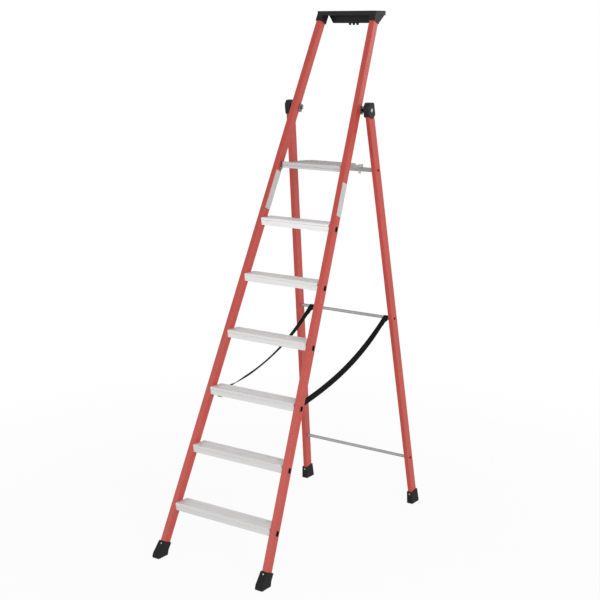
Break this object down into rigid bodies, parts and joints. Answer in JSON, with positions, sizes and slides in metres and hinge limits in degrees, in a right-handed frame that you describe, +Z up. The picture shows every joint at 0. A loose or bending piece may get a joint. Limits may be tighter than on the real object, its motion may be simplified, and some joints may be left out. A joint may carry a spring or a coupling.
{
  "type": "step_ladder",
  "caption": "One-sided step ladder with flat treads, a platform, a tool tray on top, and a folding rear frame limited by two webbing straps.",
  "frame": {"origin": "Floor level, under the middle of the open ladder's overall box", "axes": "+Z up; +X to the right of a person facing the treads; the climber stands on the -Y side and the rear frame is on the +Y side"},
  "size_m": [0.65, 1.2514, 2.334],
  "materials": {
    "red_frame": "satin red coating on aluminium tube",
    "bare_aluminium": "satin mill-finish extrusion",
    "zinc_steel": "zinc-plated sheet and fasteners",
    "black_plastic": "moulded, finely textured",
    "boot_rubber": "moulded, dull",
    "webbing": "woven polyester webbing",
    "label_film": "blank printed film"
  },
  "bodies": {
    "front_frame": {"front_stile_left": "red_frame", "front_stile_right": "red_frame", "tread_1": "bare_aluminium", "tread_2": "bare_aluminium", "tread_3": "bare_aluminium", "tread_4": "bare_aluminium", "tread_5": "bare_aluminium", "tread_6": "bare_aluminium", "tread_sleeves_left": "bare_aluminium", "tread_sleeves_right": "bare_aluminium", "tread_plugs_left": "black_plastic", "tread_plugs_right": "black_plastic", "front_boot_left": "boot_rubber", "front_boot_right": "boot_rubber", "front_boot_rivets": "zinc_steel", "hinge_bracket_left": "zinc_steel", "hinge_bracket_right": "zinc_steel", "bracket_rivets": "zinc_steel", "hinge_bolt_left": "zinc_steel", "hinge_bolt_right": "zinc_steel", "hinge_nuts": "zinc_steel", "hinge_spacers": "black_plastic", "platform_ears": "zinc_steel", "platform_ear_rivets": "zinc_steel", "platform_pins": "zinc_steel", "strap_hangers": "zinc_steel", "hanger_rivets": "zinc_steel", "tool_tray": "black_plastic", "tray_screws": "black_plastic", "label_left": "label_film", "label_right": "label_film"},
    "rear_frame": {"strap_left": "webbing", "strap_right": "webbing", "rear_leg_left": "red_frame", "rear_leg_right": "red_frame", "hinge_cap_left": "black_plastic", "hinge_cap_right": "black_plastic", "upper_bar": "bare_aluminium", "middle_rod": "bare_aluminium", "lower_rod": "bare_aluminium", "rod_rivets": "black_plastic", "platform_catches": "zinc_steel", "rear_boot_left": "boot_rubber", "rear_boot_right": "boot_rubber", "rear_boot_rivets": "zinc_steel"},
    "platform": {"platform_plate": "bare_aluminium", "platform_side_left": "bare_aluminium", "platform_side_right": "bare_aluminium", "platform_rivets": "zinc_steel"}
  },
  "joints": [
    {"name": "rear_fold", "type": "hinge", "parent": "front_frame", "child": "rear_frame", "pos_m": [0, 0.30074, 1.903], "axis": [-1, 0, 0], "range_deg": [0, 31], "deforming": ["strap_left", "strap_right"]},
    {"name": "platform_tilt", "type": "hinge", "parent": "front_frame", "child": "platform", "pos_m": [0, 0.16881, 1.652], "axis": [1, 0, 0], "range_deg": [0, 65.2]}
  ],
  "couplings": [
    {"joint": "platform_tilt", "follows": "rear_fold", "ratio": 2.1}
  ]
}
